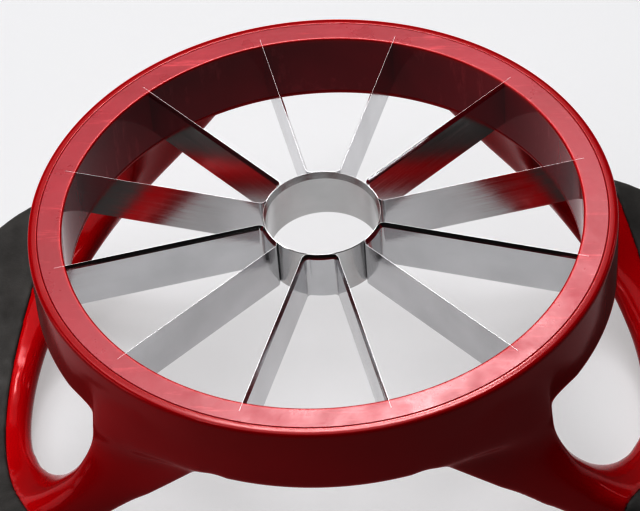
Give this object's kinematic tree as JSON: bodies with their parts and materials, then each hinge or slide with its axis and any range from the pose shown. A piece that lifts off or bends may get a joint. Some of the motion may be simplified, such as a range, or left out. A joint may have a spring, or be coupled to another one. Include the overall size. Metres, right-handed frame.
{
  "type": "apple divider and corer",
  "caption": "Hand tool that divides and cores an apple: a ring with radial blades round a corer tube, and loop handles with soft grips.",
  "frame": {"origin": "on the corer's axis, on the surface that the two handles stand on", "axes": "+Z along the corer's axis towards the cutting edges and the flat cutting face; the handles lie along +X and -X; +Y is across the handles"},
  "size_m": [0.1678, 0.1132, 0.06],
  "materials": {
    "red_moulding": "gloss",
    "red_retainer": "satin",
    "soft_grip": "matte",
    "blade_steel": "polished",
    "corer_steel": "satin"
  },
  "bodies": {
    "root": {"frame": "red_moulding", "retainer_ring": "red_retainer", "right_grip": "soft_grip", "left_grip": "soft_grip", "corer_ring": "corer_steel", "blade_strip_1": "blade_steel", "blade_strip_2": "blade_steel", "blade_strip_3": "blade_steel", "blade_strip_4": "blade_steel", "blade_strip_5": "blade_steel", "blade_strip_6": "blade_steel"}
  },
  "joints": []
}
